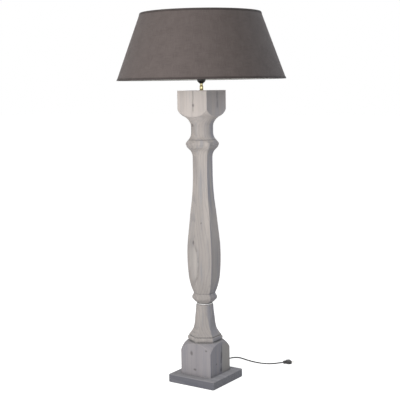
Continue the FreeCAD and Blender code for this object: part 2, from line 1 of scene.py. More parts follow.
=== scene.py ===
"""Candlestick floor lamp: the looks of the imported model. Metres, +Z up, -Y the front."""

import json
import math
import random

import bpy
from mathutils import Matrix, Vector


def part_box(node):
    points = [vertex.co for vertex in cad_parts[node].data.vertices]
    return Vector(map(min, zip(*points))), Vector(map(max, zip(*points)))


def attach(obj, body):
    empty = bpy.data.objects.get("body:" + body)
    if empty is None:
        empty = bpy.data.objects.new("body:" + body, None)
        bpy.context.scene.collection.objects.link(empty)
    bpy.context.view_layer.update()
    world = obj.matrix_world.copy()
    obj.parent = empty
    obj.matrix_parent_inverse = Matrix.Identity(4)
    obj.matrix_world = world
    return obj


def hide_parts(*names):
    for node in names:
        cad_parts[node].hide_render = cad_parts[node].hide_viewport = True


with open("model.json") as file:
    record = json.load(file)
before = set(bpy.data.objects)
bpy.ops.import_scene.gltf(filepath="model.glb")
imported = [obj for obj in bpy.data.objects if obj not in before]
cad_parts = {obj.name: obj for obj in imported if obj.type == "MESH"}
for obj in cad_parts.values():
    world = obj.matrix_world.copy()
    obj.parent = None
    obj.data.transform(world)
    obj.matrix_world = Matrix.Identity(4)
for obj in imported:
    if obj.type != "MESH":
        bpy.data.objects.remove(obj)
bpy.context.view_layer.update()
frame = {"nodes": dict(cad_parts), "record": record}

MM = 0.001

# ---- the lamp's sizes that this script shares with the model's source ----
SHADE_BOTTOM_RADIUS = 0.350
SHADE_TOP_RADIUS = 0.249
SHADE_BOTTOM = 1.2775
SHADE_TOP = 1.550
SHADE_SLANT = math.hypot(SHADE_TOP - SHADE_BOTTOM, SHADE_BOTTOM_RADIUS - SHADE_TOP_RADIUS)
HEM_HEIGHT = 0.009
COVER_INSET = 0.0010
CORD_RADIUS = 0.00275
PLINTH_HALF = 0.115
CORD_EXIT_HEIGHT = 0.012
PEDESTAL_FACE = 0.0755
TURNED_GROOVES = (0.1778, 0.1988, 0.3395, 0.3812, 1.0310)

# The coil, in millimetres.
COIL_X = -118.0
COIL_START_Y = 232.0
COIL_WIDTH = 90.0
COIL_PITCH = 6.0
COIL_LOW = 3.75
COIL_INNER_STEPS = 7

# The cord's route, in millimetres, as in the model's source.
LEAD_ROUTE = [
    (0, 138, 12),
    (-2, 156, 10),
    (-12, 171, 5.5),
    (-29, 178, 3.5),
    (-47, 178, 6),
    (-64, 174, 9),
]
LINK_ROUTE = [
    (-132, 174, 9),
    (-152, 173, 6),
    (-172, 174, 3.2),
    (-187.5, 185, 2.85),
    (-193.5, 203, 2.85),
    (-187.5, 221, 3.2),
    (-172, 232, 5),
    (-148, 232.6, 9.2),
    (-123.5, 232, 9.75),
]
RUN_ROUTE = [
    (-73, 288.5, 3.75),
    (-71, 309, 3.2),
    (-62, 328, 2.85),
    (-44, 338, 2.85),
    (-20, 334, 2.85),
    (12, 323, 2.85),
    (50, 315, 2.85),
    (88, 314, 2.85),
    (122, 323, 2.85),
    (150, 344, 3.6),
    (175, 368, 6.85),
]


# ---- camera ----
def camera():
    """The photograph's viewpoint: in front and to the right, just below the shade."""
    focal_pixels = 923.4
    picture_pixels = 400.0
    distance = 3.847
    height = 1.2525
    turn = math.radians(34.08)
    aim = math.radians(-0.198)
    pitch = math.radians(7.046)
    roll = math.radians(0.901)
    level = Vector((-math.sin(turn), math.cos(turn), 0))
    side = Vector((math.cos(turn), math.sin(turn), 0))
    ahead = level * math.cos(aim) + side * math.sin(aim)
    side = side * math.cos(aim) - level * math.sin(aim)
    upward = Vector((0, 0, 1))
    forward = ahead * math.cos(pitch) - upward * math.sin(pitch)
    top = ahead * math.sin(pitch) + upward * math.cos(pitch)
    right = side * math.cos(roll) - top * math.sin(roll)
    top = side * math.sin(roll) + top * math.cos(roll)
    data = bpy.data.cameras.new("camera")
    data.sensor_width = 36.0
    data.lens = focal_pixels / picture_pixels * data.sensor_width
    seen = bpy.data.objects.new("camera", data)
    bpy.context.collection.objects.link(seen)
    place = Vector((math.sin(turn) * distance, -math.cos(turn) * distance, height))
    axes = Matrix((right, top, -forward)).transposed().to_4x4()
    seen.matrix_world = Matrix.Translation(place) @ axes
    bpy.context.scene.camera = seen


# ---- shader building ----
class Shader:
    """A material with one Principled surface, and short calls for the nodes that feed it."""

    def __init__(self, name, **settings):
        self.material = bpy.data.materials.new(name)
        self.material.use_nodes = True
        self.tree = self.material.node_tree
        self.tree.nodes.clear()
        self.output = self.tree.nodes.new("ShaderNodeOutputMaterial")
        self.surface = self.tree.nodes.new("ShaderNodeBsdfPrincipled")
        self.tree.links.new(self.surface.outputs["BSDF"], self.output.inputs["Surface"])
        for socket, value in settings.items():
            self.surface.inputs[socket.replace("_", " ")].default_value = value

    def feed(self, socket, value):
        """Links or sets one input of the surface."""
        self.put(self.surface.inputs[socket], value)

    def put(self, socket, value):
        """Links another node's output, or sets a number, a vector or a colour."""
        if isinstance(value, bpy.types.NodeSocket):
            self.tree.links.new(value, socket)
        elif isinstance(value, tuple) and len(value) == 3 and socket.type == "RGBA":
            socket.default_value = (*value, 1.0)
        else:
            socket.default_value = value

    def place(self):
        """Points of the model, in metres."""
        return self.tree.nodes.new("ShaderNodeTexCoord").outputs["Object"]

    def facing(self):
        """The three parts of the surface's direction."""
        return self.parts(self.tree.nodes.new("ShaderNodeNewGeometry").outputs["Normal"])

    def flat_map(self, stretch=(1, 1, 1)):
        """The mesh's own map, in metres along the cloth."""
        source = self.tree.nodes.new("ShaderNodeTexCoord").outputs["UV"]
        return self.vector("MULTIPLY", source, stretch)

    def vector(self, operation, first, second=None):
        """One step of arithmetic on vectors."""
        node = self.tree.nodes.new("ShaderNodeVectorMath")
        node.operation = operation
        self.put(node.inputs[0], first)
        if second is not None:
            self.put(node.inputs[1], second)
        name = "Value" if operation in ("LENGTH", "DOT_PRODUCT") else "Vector"
        return node.outputs[name]

    def math(self, operation, first, second=0.0, third=None):
        """One step of arithmetic on numbers."""
        node = self.tree.nodes.new("ShaderNodeMath")
        node.operation = operation
        self.put(node.inputs[0], first)
        self.put(node.inputs[1], second)
        if third is not None:
            self.put(node.inputs[2], third)
        return node.outputs[0]

    def parts(self, vector):
        """The X, Y and Z of a vector."""
        node = self.tree.nodes.new("ShaderNodeSeparateXYZ")
        self.put(node.inputs[0], vector)
        return node.outputs

    def noise(self, vector, scale, detail=3.0, roughness=0.5, twist=0.0):
        """Cloudy noise about 0.5."""
        node = self.tree.nodes.new("ShaderNodeTexNoise")
        self.put(node.inputs["Vector"], vector)
        node.inputs["Scale"].default_value = scale
        node.inputs["Detail"].default_value = detail
        node.inputs["Roughness"].default_value = roughness
        node.inputs["Distortion"].default_value = twist
        return node.outputs["Fac"]

    def wander(self, vector, scale, reach):
        """The vector, pushed about by up to about half of reach."""
        node = self.tree.nodes.new("ShaderNodeTexNoise")
        self.put(node.inputs["Vector"], vector)
        node.inputs["Scale"].default_value = scale
        middle = (0.5, 0.5, 0.5)
        push = self.vector("SUBTRACT", node.outputs["Color"], middle)
        return self.vector("ADD", vector, self.vector("MULTIPLY", push, reach))

    def specks(self, vector, scale):
        """Distance to the nearest of many scattered points."""
        node = self.tree.nodes.new("ShaderNodeTexVoronoi")
        self.put(node.inputs["Vector"], vector)
        node.inputs["Scale"].default_value = scale
        return node.outputs["Distance"]

    def rings(self, vector, scale, bend, bend_scale):
        """Growth rings about the Z axis of the vector given."""
        node = self.tree.nodes.new("ShaderNodeTexWave")
        node.wave_type = "RINGS"
        node.rings_direction = "Z"
        node.wave_profile = "SAW"
        self.put(node.inputs["Vector"], vector)
        node.inputs["Scale"].default_value = scale
        node.inputs["Distortion"].default_value = bend
        node.inputs["Detail"].default_value = 2.0
        node.inputs["Detail Scale"].default_value = bend_scale
        return node.outputs["Fac"]

    def spread(self, value, low, high, start=0.0, end=1.0, smooth=True):
        """Maps low..high to start..end."""
        node = self.tree.nodes.new("ShaderNodeMapRange")
        node.interpolation_type = "SMOOTHSTEP" if smooth else "LINEAR"
        self.put(node.inputs["Value"], value)
        for name, number in zip(("From Min", "From Max", "To Min", "To Max"), (low, high, start, end)):
            node.inputs[name].default_value = number
        return node.outputs["Result"]

    def mix(self, share, first, second):
        """A mix of two colours."""
        node = self.tree.nodes.new("ShaderNodeMix")
        node.data_type = "RGBA"
        self.put(node.inputs["Factor"], share)
        colour_a, colour_b, colour_out = 6, 7, 2
        self.put(node.inputs[colour_a], first)
        self.put(node.inputs[colour_b], second)
        return node.outputs[colour_out]

    def worn_edge(self, radius):
        """1 on sharp edges, 0 on faces."""
        bevel = self.tree.nodes.new("ShaderNodeBevel")
        bevel.samples = 4
        bevel.inputs["Radius"].default_value = radius
        plain = self.tree.nodes.new("ShaderNodeNewGeometry").outputs["Normal"]
        match = self.vector("DOT_PRODUCT", bevel.outputs["Normal"], plain)
        flat, sharp = 0.999, 0.90
        return self.spread(match, flat, sharp)

    def recess(self, distance):
        """0 in the open, up to 1 deep in a groove."""
        node = self.tree.nodes.new("ShaderNodeAmbientOcclusion")
        node.samples = 6
        node.inputs["Distance"].default_value = distance
        open_air, deep = 0.95, 0.35
        return self.spread(node.outputs["AO"], open_air, deep)

    def bump(self, height, depth, strength):
        """A surface direction that follows the height given; depth is in metres."""
        node = self.tree.nodes.new("ShaderNodeBump")
        node.inputs["Strength"].default_value = strength
        node.inputs["Distance"].default_value = depth
        self.put(node.inputs["Height"], height)
        return node.outputs["Normal"]


# ---- materials ----
def wash(shader, points, along, pith, tones):
    """Grey-washed timber: streaks along the grain, growth rings and fine fibres.

    points are in metres, along squeezes them along the grain, pith is the middle of the rings.
    Returns the colour and the height of the grain.
    """
    pale, warm, cool, dark = tones
    grain = shader.vector("MULTIPLY", points, along)
    broad = shader.noise(grain, 26.0, 3.0, 0.55)
    elsewhere = (3.1, 1.7, 0.4)
    patch = shader.noise(shader.vector("ADD", grain, elsewhere), 55.0, 3.0, 0.6)
    fibres = shader.noise(grain, 420.0, 4.0, 0.65)
    rings = shader.rings(shader.vector("SUBTRACT", grain, pith), 38.0, 5.0, 1.2)
    colour = shader.mix(shader.spread(broad, 0.36, 0.62), pale, warm)
    colour = shader.mix(shader.spread(patch, 0.50, 0.72, 0.0, 0.75), colour, cool)
    late = shader.spread(rings, 0.55, 1.0, 0.0, 0.28)
    colour = shader.mix(late, colour, dark)
    colour = shader.mix(shader.spread(fibres, 0.52, 0.75, 0.0, 0.35), colour, dark)
    ring_depth = -0.35
    height = shader.math("MULTIPLY_ADD", rings, ring_depth, fibres)
    return colour, height


def spot(shader, points, centre, radius, tall):
    """1 in the middle of a knot, 0 outside it; tall stretches it along Z."""
    away = shader.vector("SUBTRACT", points, centre)
    away = shader.vector("MULTIPLY", away, (1, 1, 1 / tall))
    core = radius * 0.25
    return shader.spread(shader.vector("LENGTH", away), core, radius, 1.0, 0.0)


def column_wood():
    """The column's pale grey wash, with its marks, worn edges and painted shade in its recesses."""
    shader = Shader("column_wood", Specular_IOR_Level=0.25)
    points = shader.place()
    axes = shader.parts(points)
    wobble = shader.noise(points, 18.0, 2.0)
    pith = (0.045, 0.075, 0)
    tones = ((0.46, 0.425, 0.405), (0.39, 0.36, 0.343), (0.315, 0.315, 0.333), (0.20, 0.195, 0.205))
    figure_pale = (0.53, 0.50, 0.48)
    figure_dark = (0.20, 0.19, 0.185)
    recess_shade_tone = (0.15, 0.15, 0.16)
    worn_tone = (0.58, 0.55, 0.53)
    colour, height = wash(shader, points, (1, 1, 0.07), pith, tones)
    # the pointed growth figure where the swelling cuts through the rings
    inside, edge = cathedral(shader, points, wobble)
    colour = shader.mix(shader.math("MULTIPLY", inside, 0.35), colour, figure_pale)
    colour = shader.mix(shader.math("MULTIPLY", edge, 0.50), colour, figure_dark)
    colour = column_tints(shader, points, axes, colour)
    colour, height = column_marks(shader, points, axes, wobble, colour, height)

    # painted shade: darker where ambient occlusion finds a recess
    colour = shader.mix(shader.math("MULTIPLY", shader.recess(0.018), 0.50), colour, recess_shade_tone)
    worn = shader.math("MULTIPLY", shader.worn_edge(0.0022), shader.spread(wobble, 0.38, 0.6, 0.15, 0.6))
    colour = shader.mix(worn, colour, worn_tone)
    shader.feed("Base Color", colour)
    shader.feed("Roughness", shader.spread(height, 0.2, 0.8, 0.82, 0.62))
    shader.feed("Normal", shader.bump(height, 0.0006, 0.8))
    return shader.material


def column_tints(shader, points, axes, colour):
    """Painted shade that makes the column bluer and darker, painted light that makes it paler, and where
    it is beige.
    """
    x, y, z = axes
    right_shade_tone = (0.235, 0.245, 0.30)
    capital_light_tone = (0.68, 0.63, 0.605)
    foot_shade_tone = (0.22, 0.22, 0.225)
    pedestal_shade_tone = (0.245, 0.243, 0.29)
    beige_wash = (0.37, 0.355, 0.32)
    # heights, in metres, over which each one comes or goes
    capital_from = (1.09, 1.14)
    foot_fades = (0.05, 1.15)
    pedestal_ends = (0.172, 0.180)
    beige_ends = (0.150, 0.185)
    # painted shade: bluer and darker on the right-hand faces, in streaks
    right = shader.spread(shader.facing()[0], 0.55, 0.90)
    bands = shader.noise(shader.vector("MULTIPLY", points, (1, 1, 0.05)), 48.0, 2.0)
    right_shade_share = shader.math("MULTIPLY", right, shader.spread(bands, 0.40, 0.60, 0.10, 0.60))
    colour = shader.mix(right_shade_share, colour, right_shade_tone)
    # and painted light and shade by height: palest on the capital, darker towards the foot, bluer and
    # darker on the pedestal
    colour = shader.mix(shader.spread(z, *capital_from, 0.0, 0.36), colour, capital_light_tone)
    colour = shader.mix(shader.spread(z, *foot_fades, 0.26, 0.0, smooth=False), colour, foot_shade_tone)
    colour = shader.mix(shader.spread(z, *pedestal_ends, 0.48, 0.0), colour, pedestal_shade_tone)
    # the pedestal's right-hand face is beige beyond its dark streak
    beige = shader.math("MULTIPLY", shader.spread(y, 0.010, 0.018), shader.spread(x, 0.073, 0.074))
    beige = shader.math("MULTIPLY", beige, shader.spread(z, *beige_ends, 0.55, 0.0))
    return shader.mix(beige, colour, beige_wash)


def column_marks(shader, points, axes, wobble, colour, height):
    """Knots, stains, the open crack and painted shade along the turned grooves."""
    x, y, z = axes
    knot_tone = (0.11, 0.103, 0.105)
    stain_tone = (0.09, 0.09, 0.105)
    groove_shade_tone = (0.13, 0.13, 0.135)
    # middle in metres, radius, and how much taller than wide
    knots = [
        ((0.0065, -0.0730, 1.1745), 0.007, 1.5),
        ((-0.0110, -0.0635, 0.603), 0.010, 1.5),
        ((0.0215, -0.0512, 0.687), 0.006, 1.2),
        ((-0.0200, -PEDESTAL_FACE, 0.131), 0.010, 1.4),
        ((-0.0040, -PEDESTAL_FACE, 0.062), 0.010, 0.8),
        ((0.0540, -PEDESTAL_FACE, 0.150), 0.008, 0.8),
        ((PEDESTAL_FACE, 0.0100, 0.118), 0.010, 2.0),
        ((PEDESTAL_FACE, 0.0040, 0.052), 0.011, 1.2),
        ((PEDESTAL_FACE, -0.0300, 0.085), 0.006, 1.0),
        ((-0.0180, -0.0440, 1.092), 0.007, 2.0),
        ((-0.0730, 0.0200, 1.190), 0.007, 1.3),
        ((0.0180, PEDESTAL_FACE, 0.100), 0.008, 1.4),
        ((-0.0200, 0.0600, 0.520), 0.007, 1.6),
    ]
    knot_wander = (0.006, 0.006, 0.010)
    knot_strength = 0.72
    wobbled = shader.wander(points, 60.0, knot_wander)
    for centre, radius, tall in knots:
        mask = spot(shader, wobbled, centre, radius, tall)
        colour = shader.mix(shader.math("MULTIPLY", mask, knot_strength), colour, knot_tone)

    # a dark streak down the right-hand face of the pedestal, and one on the capital's
    low_streak = streak(
        shader, axes, wobble, face=(0.074, 0.008), width=0.0075, reach=(0.036, 0.168),
    )
    high_streak = streak(
        shader, axes, wobble, face=(0.070, 0.006), width=0.010, reach=(1.150, 1.236),
    )
    high_strength = 0.5
    fainter = shader.math("MULTIPLY", high_streak, high_strength)
    stain = shader.math("MAXIMUM", low_streak, fainter)
    broken = shader.spread(shader.noise(points, 55.0, 3.0), 0.35, 0.60, 0.35, 0.85)
    colour = shader.mix(shader.math("MULTIPLY", stain, broken), colour, stain_tone)

    # the open crack in the capital's front face
    crack_x = 0.0033
    crack_bend = 0.006
    crack_strength = 0.75
    crack_depth = -2.0
    crack_width = (0.0006, 0.0020)
    crack_front = (-0.0725, -0.0715)
    crack_from = (1.140, 1.155)
    path = shader.math("MULTIPLY_ADD", wobble, crack_bend, crack_x)
    off = shader.math("ABSOLUTE", shader.math("SUBTRACT", x, path))
    line = shader.spread(off, *crack_width, 1.0, 0.0)
    line = shader.math("MULTIPLY", line, shader.spread(y, *crack_front, 1.0, 0.0))
    line = shader.math("MULTIPLY", line, shader.spread(z, *crack_from))
    colour = shader.mix(shader.math("MULTIPLY", line, crack_strength), colour, knot_tone)
    height = shader.math("MULTIPLY_ADD", line, crack_depth, height)

    # painted shade: dark lines along the turned grooves
    groove_width = (0.0008, 0.0026)
    groove_strength = 0.50
    for groove in TURNED_GROOVES:
        away = shader.math("ABSOLUTE", shader.math("SUBTRACT", z, groove))
        mask = shader.spread(away, *groove_width, groove_strength, 0.0)
        colour = shader.mix(mask, colour, groove_shade_tone)
    return colour, height


def streak(shader, axes, wobble, face, width, reach):
    """1 along an upright stain on a right-hand face.

    face is the least X and the stain's Y, reach is its lowest and highest Z.
    """
    x, y, z = axes
    least_x, middle_y = face
    low, high = reach
    bend = 0.012
    fade = 0.02
    skin = 0.001
    path = shader.math("MULTIPLY_ADD", wobble, bend, middle_y - bend / 2)
    off = shader.math("ABSOLUTE", shader.math("SUBTRACT", y, path))
    line = shader.spread(off, width * 0.2, width, 1.0, 0.0)
    line = shader.math("MULTIPLY", line, shader.spread(x, least_x - skin, least_x))
    line = shader.math("MULTIPLY", line, shader.spread(z, low, low + fade))
    return shader.math("MULTIPLY", line, shader.spread(z, high - fade, high, 1.0, 0.0))


def cathedral(shader, points, wobble):
    """The long oval growth figure on the near flat's left side: its inside and its right-hand edge."""
    flat_direction = (0.866, 0.5, 0)
    middle_across = 0.042
    middle_height = 0.517
    half_width = 0.021
    half_height = 0.088
    across = shader.vector("DOT_PRODUCT", points, flat_direction)
    _, y, z = shader.parts(points)
    wide = shader.math("MULTIPLY", shader.math("ADD", across, middle_across), 1 / half_width)
    tall = shader.math("MULTIPLY", shader.math("SUBTRACT", z, middle_height), 1 / half_height)
    square = shader.math("MULTIPLY", wide, wide)
    oval = shader.math("SQRT", shader.math("MULTIPLY_ADD", tall, tall, square))
    oval = shader.math("ADD", oval, shader.math("MULTIPLY_ADD", wobble, 0.6, -0.3))
    near_side = (-0.045, -0.035)
    front = shader.spread(y, *near_side, 1.0, 0.0)
    inside = shader.math("MULTIPLY", shader.spread(oval, 0.6, 1.05, 1.0, 0.0), front)
    from_edge = shader.math("ABSOLUTE", shader.math("SUBTRACT", oval, 1.0))
    edge = shader.spread(from_edge, 0.03, 0.20, 1.0, 0.0)
    edge = shader.math("MULTIPLY", edge, shader.spread(across, -0.048, -0.030))
    broken = shader.spread(shader.noise(points, 70.0, 3.0), 0.38, 0.60, 0.25, 1.0)
    edge = shader.math("MULTIPLY", shader.math("MULTIPLY", edge, broken), front)
    return inside, edge


def plinth_wood():
    """The plinth's darker wash, with painted shade on its sides and in its recesses, and end grain on
    its left and right sides.
    """
    shader = Shader("plinth_wood", Specular_IOR_Level=0.25)
    points = shader.place()
    pith = (0, 0.05, -0.12)
    tones = ((0.34, 0.335, 0.36), (0.29, 0.285, 0.30), (0.20, 0.21, 0.24), (0.11, 0.115, 0.13))
    recess_shade_tone = (0.08, 0.08, 0.09)
    worn_tone = (0.42, 0.42, 0.42)
    side_shade_tone = (0.090, 0.095, 0.12)
    end_tone = (0.27, 0.27, 0.275)
    colour, height = wash(shader, points, (0.07, 1, 1), pith, tones)
    # painted shade: darker where ambient occlusion finds a recess
    colour = shader.mix(shader.math("MULTIPLY", shader.recess(0.012), 0.7), colour, recess_shade_tone)
    wear = shader.noise(points, 40.0, 3.0)
    worn = shader.math("MULTIPLY", shader.worn_edge(0.003), shader.spread(wear, 0.4, 0.6, 0.1, 0.6))
    colour = shader.mix(worn, colour, worn_tone)
    # painted shade: the sides darker than the top
    sideways, _, upright = shader.facing()
    side = shader.spread(upright, 0.2, 0.8, 0.62, 0.0)
    colour = shader.mix(side, colour, side_shade_tone)
    # end grain lies open on the left and right sides, with paler streaks
    end = shader.spread(shader.math("ABSOLUTE", sideways), 0.6, 0.9)
    lines = shader.noise(shader.vector("MULTIPLY", points, (1, 1, 3.5)), 130.0, 4.0, 0.6)
    pale = shader.math("MULTIPLY", end, shader.spread(lines, 0.46, 0.62, 0.0, 0.65))
    colour = shader.mix(pale, colour, end_tone)
    shader.feed("Base Color", colour)
    shader.feed("Roughness", shader.spread(height, 0.2, 0.8, 0.8, 0.6))
    shader.feed("Normal", shader.bump(height, 0.0006, 0.8))
    return shader.material


def dowel_wood():
    """Plain beech."""
    shader = Shader("dowel_wood", Specular_IOR_Level=0.3)
    points = shader.place()
    tones = ((0.62, 0.47, 0.31), (0.57, 0.42, 0.27), (0.50, 0.37, 0.24), (0.40, 0.27, 0.16))
    colour, height = wash(shader, points, (1, 1, 0.1), (0.05, 0.05, 0), tones)
    shader.feed("Base Color", colour)
    shader.feed("Roughness", shader.spread(height, 0.2, 0.8, 0.7, 0.55))
    shader.feed("Normal", shader.bump(height, 0.0003, 0.6))
    return shader.material


def cloth(name, tone, shadow, sheen):
    """Plain-woven cloth on a mesh whose map is in metres: warp, weft and slubs."""
    shader = Shader(name, Specular_IOR_Level=0.2, Sheen_Weight=sheen, Sheen_Roughness=0.45)
    thread_pitch = 0.0008
    turns = 2 * math.pi / thread_pitch
    across, along, _ = shader.parts(shader.flat_map((turns, turns, 0)))
    weave = shader.math("MULTIPLY", shader.math("SINE", across), shader.math("SINE", along))
    ground = shader.flat_map()
    warp_slub = shader.noise(shader.vector("MULTIPLY", ground, (1, 0.03, 1)), 900.0, 3.0, 0.6)
    weft_slub = shader.noise(shader.vector("MULTIPLY", ground, (0.03, 1, 1)), 900.0, 3.0, 0.6)
    slub = shader.math("MULTIPLY", shader.math("ADD", warp_slub, weft_slub), 0.5)
    cloud = shader.noise(ground, 22.0, 4.0, 0.6)
    colour = shader.mix(shader.spread(slub, 0.38, 0.60, 0.15, 0.85), shadow, tone)
    colour = shader.mix(shader.spread(weave, -1.0, 1.0, 0.30, 0.0), colour, shadow)
    lighter = tuple(c * 1.10 for c in tone)
    colour = shader.mix(shader.spread(cloud, 0.35, 0.65, 0.0, 0.30), colour, lighter)
    shader.feed("Base Color", colour)
    shader.feed("Roughness", shader.spread(slub, 0.3, 0.7, 0.95, 0.8))
    height = shader.math("MULTIPLY_ADD", weave, 0.25, slub)
    shader.feed("Normal", shader.bump(height, 0.0005, 0.7))
    return shader.material


def liner_white():
    """White laminated lining with a faint fleck and the yellowing of warm light."""
    shader = Shader("liner_white", Specular_IOR_Level=0.35)
    points = shader.place()
    fleck = shader.noise(points, 900.0, 3.0, 0.6)
    cloud = shader.noise(points, 9.0, 3.0, 0.5)
    white, yellowed, fleck_tone = (0.84, 0.82, 0.78), (0.80, 0.77, 0.71), (0.70, 0.68, 0.64)
    colour = shader.mix(shader.spread(cloud, 0.35, 0.65), white, yellowed)
    colour = shader.mix(shader.spread(fleck, 0.55, 0.75, 0.0, 0.3), colour, fleck_tone)
    shader.feed("Base Color", colour)
    shader.feed("Roughness", shader.spread(fleck, 0.3, 0.7, 0.55, 0.4))
    shader.feed("Normal", shader.bump(fleck, 0.0002, 0.4))
    return shader.material


def metal(name, tone, tint, rough, brush, dull):
    """Metal with fine scratches, longer along one axis where it is brushed, and duller patches."""
    shader = Shader(name, Metallic=1.0)
    points = shader.place()
    lines = shader.noise(shader.vector("MULTIPLY", points, brush), 1500.0, 3.0, 0.6)
    haze = shader.noise(points, 120.0, 3.0, 0.6)
    colour = shader.mix(shader.spread(haze, 0.35, 0.70), tone, tint)
    colour = shader.mix(shader.math("MULTIPLY", shader.recess(0.004), 0.8), colour, dull)
    shader.feed("Base Color", colour)
    shader.feed("Roughness", shader.spread(haze, 0.3, 0.7, rough, rough + 0.15))
    shader.feed("Normal", shader.bump(lines, 0.00008, 0.35))
    return shader.material


def plastic(name, tone, wear, rough, grain_depth):
    """Moulded plastic: fine spark-eroded grain, hazy patches and rubbed edges."""
    shader = Shader(name, Specular_IOR_Level=0.5)
    points = shader.place()
    speck = shader.specks(points, 1400.0)
    haze = shader.noise(points, 70.0, 4.0, 0.6)
    colour = shader.mix(shader.spread(haze, 0.4, 0.7, 0.0, 0.6), tone, wear)
    colour = shader.mix(shader.math("MULTIPLY", shader.worn_edge(0.0008), 0.35), colour, wear)
    shader.feed("Base Color", colour)
    shader.feed("Roughness", shader.spread(haze, 0.3, 0.7, rough, rough + 0.14))
    shader.feed("Normal", shader.bump(speck, grain_depth, 0.6))
    return shader.material


def frosted_glass():
    """Bulb glass, etched on the inside."""
    shader = Shader(
        "frosted_glass", Transmission_Weight=0.35, IOR=1.45, Coat_Weight=0.6, Coat_Roughness=0.05,
    )
    points = shader.place()
    cloud = shader.noise(points, 60.0, 3.0, 0.6)
    clear, etched = (0.94, 0.94, 0.92), (0.88, 0.88, 0.85)
    colour = shader.mix(shader.spread(cloud, 0.35, 0.65), clear, etched)
    shader.feed("Base Color", colour)
    shader.feed("Roughness", shader.spread(cloud, 0.3, 0.7, 0.38, 0.5))
    shader.feed("Normal", shader.bump(shader.noise(points, 2500.0), 0.00004, 0.5))
    return shader.material


def wool_felt():
    """Grey-brown felt with pale fibres in it."""
    shader = Shader("wool_felt", Specular_IOR_Level=0.1, Sheen_Weight=0.4, Sheen_Roughness=0.5)
    points = shader.place()
    fluff = shader.noise(points, 700.0, 5.0, 0.75, 0.6)
    fleck = shader.noise(points, 240.0, 3.0, 0.6)
    dark, light, fibre_tone = (0.21, 0.19, 0.175), (0.33, 0.30, 0.275), (0.42, 0.39, 0.36)
    colour = shader.mix(shader.spread(fluff, 0.35, 0.65), dark, light)
    colour = shader.mix(shader.spread(fleck, 0.58, 0.72, 0.0, 0.5), colour, fibre_tone)
    shader.feed("Base Color", colour)
    shader.feed("Roughness", shader.spread(fluff, 0.3, 0.7, 0.98, 0.9))
    shader.feed("Normal", shader.bump(fluff, 0.0008, 1.0))
    return shader.material


def cord_sheath():
    """Black sheath, slightly scuffed, with dust on it."""
    shader = Shader("cord_sheath", Specular_IOR_Level=0.30)
    points = shader.place()
    scuff = shader.noise(points, 160.0, 4.0, 0.65)
    grain = shader.noise(points, 1800.0, 2.0, 0.5)
    black, scuffed = (0.010, 0.010, 0.011), (0.035, 0.034, 0.033)
    colour = shader.mix(shader.spread(scuff, 0.50, 0.75, 0.0, 0.6), black, scuffed)
    shader.feed("Base Color", colour)
    shader.feed("Roughness", shader.spread(scuff, 0.3, 0.7, 0.42, 0.6))
    shader.feed("Normal", shader.bump(grain, 0.00008, 0.5))
    return shader.material


def strap_weave():
    """Woven hook-and-loop strap."""
    shader = Shader("strap_weave", Specular_IOR_Level=0.2, Sheen_Weight=0.25)
    points = shader.place()
    x, y, z = shader.parts(points)
    thread_pitch = 0.0009
    turns = 2 * math.pi / thread_pitch
    ribs = shader.math("SINE", shader.math("MULTIPLY", y, turns))
    cross = shader.math("SINE", shader.math("MULTIPLY", shader.math("ADD", x, z), turns))
    weave = shader.math("MULTIPLY", ribs, cross)
    fluff = shader.noise(points, 900.0, 4.0, 0.7)
    low, raised, fluff_tone = (0.022, 0.022, 0.024), (0.05, 0.05, 0.052), (0.085, 0.085, 0.085)
    colour = shader.mix(shader.spread(weave, -1.0, 1.0), low, raised)
    colour = shader.mix(shader.spread(fluff, 0.55, 0.75, 0.0, 0.4), colour, fluff_tone)
    shader.feed("Base Color", colour)
    shader.feed("Roughness", shader.spread(fluff, 0.3, 0.7, 0.95, 0.8))
    shader.feed("Normal", shader.bump(weave, 0.0003, 0.8))
    return shader.material


TAUPE = (0.128, 0.108, 0.103)
TAUPE_SHADOW = (0.085, 0.071, 0.069)
HEM_TAUPE = (0.078, 0.066, 0.064)
HEM_SHADOW = (0.046, 0.039, 0.037)
ZINC = ((0.66, 0.66, 0.65), (0.54, 0.54, 0.54))
ZINC_DULL = (0.30, 0.29, 0.28)
BRASS = ((0.72, 0.63, 0.36), (0.60, 0.51, 0.26))
BRASS_DULL = (0.20, 0.17, 0.07)
NICKEL = ((0.76, 0.74, 0.71), (0.66, 0.64, 0.61))
NICKEL_DULL = (0.35, 0.33, 0.30)
HOLDER_BLACK = ((0.010, 0.010, 0.010), (0.03, 0.03, 0.03))
SWITCH_BLACK = ((0.018, 0.018, 0.019), (0.06, 0.06, 0.06))
CERAMIC = ((0.84, 0.83, 0.79), (0.74, 0.72, 0.67))
WIRE_WHITE = ((0.84, 0.84, 0.82), (0.72, 0.71, 0.68))
UNBRUSHED = (1, 1, 1)
BRUSHED = (1, 1, 0.2)

